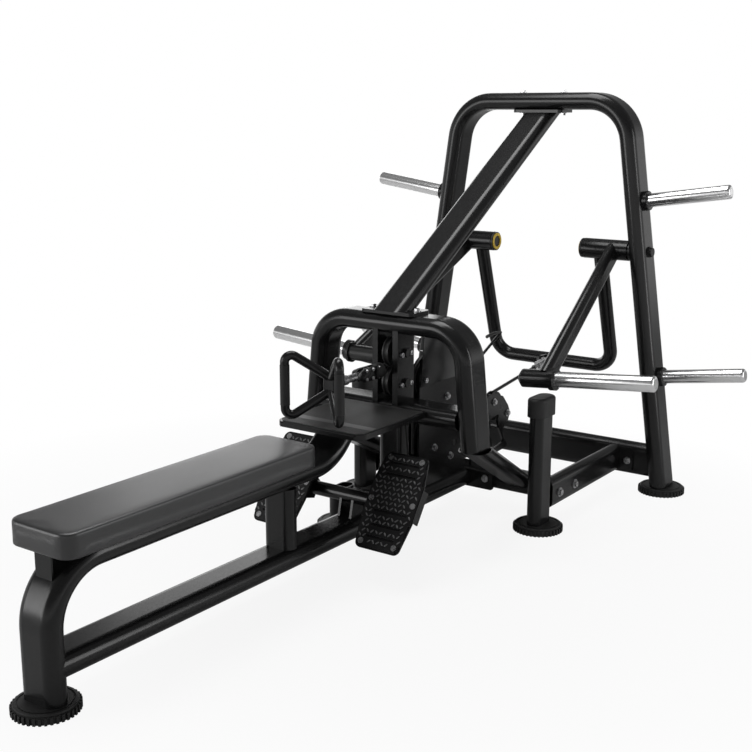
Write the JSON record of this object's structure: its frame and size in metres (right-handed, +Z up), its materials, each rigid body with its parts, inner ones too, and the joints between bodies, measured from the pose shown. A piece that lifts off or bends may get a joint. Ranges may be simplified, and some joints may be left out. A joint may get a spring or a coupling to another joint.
{
  "type": "seated cable row",
  "caption": "Plate-loaded seated cable row: long seat pad, footplates, V handle on a pulley-guided cable, swinging weight frame with loading horns, gantry with storage pegs.",
  "frame": {"origin": "on the floor, at the middle of the machine's length and width", "axes": "+X from the seat towards the gantry, +Y to the left of the seated user, +Z up"},
  "size_m": [2.6069, 1.6146, 1.4205],
  "materials": {
    "frame_black": "satin black powder coat, fine orange peel",
    "chrome_steel": "bright chrome",
    "pad_vinyl": "padded black vinyl, fine grain",
    "black_rubber": "moulded black rubber",
    "mat_rubber": "ribbed rubber",
    "grip_rubber": "soft rubber sleeve, fine texture",
    "pulley_nylon": "turned black nylon",
    "cable_jacket": "black nylon jacket on steel rope",
    "zinc_steel": "zinc plated steel",
    "dark_fastener": "black oxide steel",
    "cap_plastic": "moulded black plastic",
    "yellow_plastic": "moulded yellow plastic"
  },
  "bodies": {
    "base": {"arch_brace_left": "frame_black", "arch_brace_right": "frame_black", "arch_cross_member": "frame_black", "arch_frame": "frame_black", "beam_flanges": "frame_black", "bump_caps": "black_rubber", "bump_post_left": "frame_black", "bump_post_right": "frame_black", "center_column": "frame_black", "drive_cable": "cable_jacket", "footplate_bolts": "zinc_steel", "footplate_crossbar": "frame_black", "footplate_left": "frame_black", "footplate_right": "frame_black", "frame_bolts": "zinc_steel", "front_cross_tube": "frame_black", "gantry_frame": "frame_black", "guide_housing_plates": "frame_black", "hook_roller": "pulley_nylon", "levelling_feet": "black_rubber", "main_beam": "frame_black", "main_rail": "frame_black", "outrigger": "frame_black", "pad_mount_plate": "frame_black", "peg_flanges": "frame_black", "pivot_caps": "cap_plastic", "pivot_rings": "yellow_plastic", "pivot_shafts": "dark_fastener", "pulley_axles": "dark_fastener", "pulley_guard": "frame_black", "rail_flange": "frame_black", "rear_cross_tube": "frame_black", "rear_pulley_bracket": "frame_black", "seat_column": "frame_black", "seat_frame_tube": "frame_black", "seat_pad": "pad_vinyl", "side_rail_left": "frame_black", "side_rail_right": "frame_black", "storage_pegs": "chrome_steel", "tower_plates": "frame_black", "tray": "frame_black", "tray_mat": "mat_rubber"},
    "swing_frame": {"swing_arm_left": "frame_black", "swing_arm_right": "frame_black", "swing_u_tube": "frame_black", "weight_horn_left": "chrome_steel", "weight_horn_right": "chrome_steel", "horn_collars": "frame_black", "cable_ears": "frame_black", "ear_pin": "zinc_steel"},
    "link": {"cable_link": "zinc_steel"},
    "guide_upper": {"guide_pulley_upper": "pulley_nylon"},
    "guide_lower": {"guide_pulley_lower": "pulley_nylon"},
    "turning": {"turning_pulley": "pulley_nylon"},
    "low": {"low_pulley": "pulley_nylon"},
    "rear": {"rear_pulley": "pulley_nylon"},
    "handle": {"handle_frame": "frame_black", "handle_grips": "grip_rubber", "cable_socket": "zinc_steel", "cable_stop": "black_rubber"}
  },
  "joints": [
    {"name": "swing", "type": "hinge", "parent": "base", "child": "swing_frame", "pos_m": [1.1285, 0, 0.862], "axis": [0, 1, 0], "range_deg": [0, 33], "deforming": ["drive_cable"]},
    {"name": "link_pivot", "type": "hinge", "parent": "swing_frame", "child": "link", "pos_m": [1.2085, 0, 0.40373], "axis": [0, 1, 0], "range_deg": [-52.2, 0]},
    {"name": "guide_upper_spin", "type": "hinge", "parent": "base", "child": "guide_upper", "pos_m": [0.1785, 0, 0.613], "axis": [0, 1, 0], "range_deg": [0, 294]},
    {"name": "guide_lower_spin", "type": "hinge", "parent": "base", "child": "guide_lower", "pos_m": [0.1785, 0, 0.517], "axis": [0, 1, 0], "range_deg": [-294, 0]},
    {"name": "turning_spin", "type": "hinge", "parent": "base", "child": "turning", "pos_m": [0.3685, 0, 0.49], "axis": [0, 1, 0], "range_deg": [-188, 0]},
    {"name": "low_spin", "type": "hinge", "parent": "base", "child": "low", "pos_m": [0.4915, 0, 0.24958], "axis": [0, 1, 0], "range_deg": [0, 294]},
    {"name": "rear_spin", "type": "hinge", "parent": "base", "child": "rear", "pos_m": [0.80898, 0, 0.30847], "axis": [0, 1, 0], "range_deg": [-294, 0]},
    {"name": "handle_pull", "type": "slide", "parent": "base", "child": "handle", "axis": [-1, 0, 0], "range_m": [0, 0.246], "deforming": ["drive_cable"]}
  ],
  "couplings": [
    {"joint": "link_pivot", "follows": "swing", "ratio": -1.58},
    {"joint": "guide_upper_spin", "follows": "swing", "ratio": 8.8958},
    {"joint": "guide_lower_spin", "follows": "swing", "ratio": -8.8958},
    {"joint": "turning_spin", "follows": "swing", "ratio": -5.6933},
    {"joint": "low_spin", "follows": "swing", "ratio": 8.8958},
    {"joint": "rear_spin", "follows": "swing", "ratio": -8.8958},
    {"joint": "handle_pull", "follows": "swing", "m_per_rad": 0.427}
  ]
}
